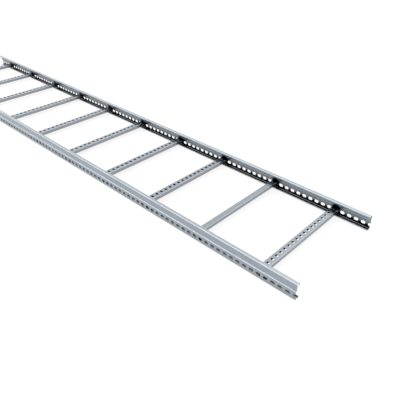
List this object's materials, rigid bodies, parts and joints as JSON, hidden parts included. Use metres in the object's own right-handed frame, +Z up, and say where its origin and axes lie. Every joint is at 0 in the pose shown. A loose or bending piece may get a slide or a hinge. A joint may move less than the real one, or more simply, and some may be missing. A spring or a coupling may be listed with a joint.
{
  "type": "cable ladder section",
  "caption": "Straight cable ladder section of galvanised sheet steel: two folded, slotted side rails joined by slotted C-section rungs, open at the ends.",
  "frame": {"origin": "centre of the section in plan, on the floor plane under the bottom flanges", "axes": "+X along the side rails toward the first rung, +Y across the ladder toward the left rail, +Z up"},
  "size_m": [3, 0.511, 0.0655],
  "materials": {
    "galvanised_rail": "hot-dip galvanised sheet, satin grey with a soft spangle",
    "galvanised_rung": "hot-dip galvanised sheet, satin grey"
  },
  "bodies": {
    "root": {"side_rail_left": "galvanised_rail", "side_rail_right": "galvanised_rail", "rung_01": "galvanised_rung", "rung_02": "galvanised_rung", "rung_03": "galvanised_rung", "rung_04": "galvanised_rung", "rung_05": "galvanised_rung", "rung_06": "galvanised_rung", "rung_07": "galvanised_rung", "rung_08": "galvanised_rung", "rung_09": "galvanised_rung", "rung_10": "galvanised_rung"}
  },
  "joints": []
}
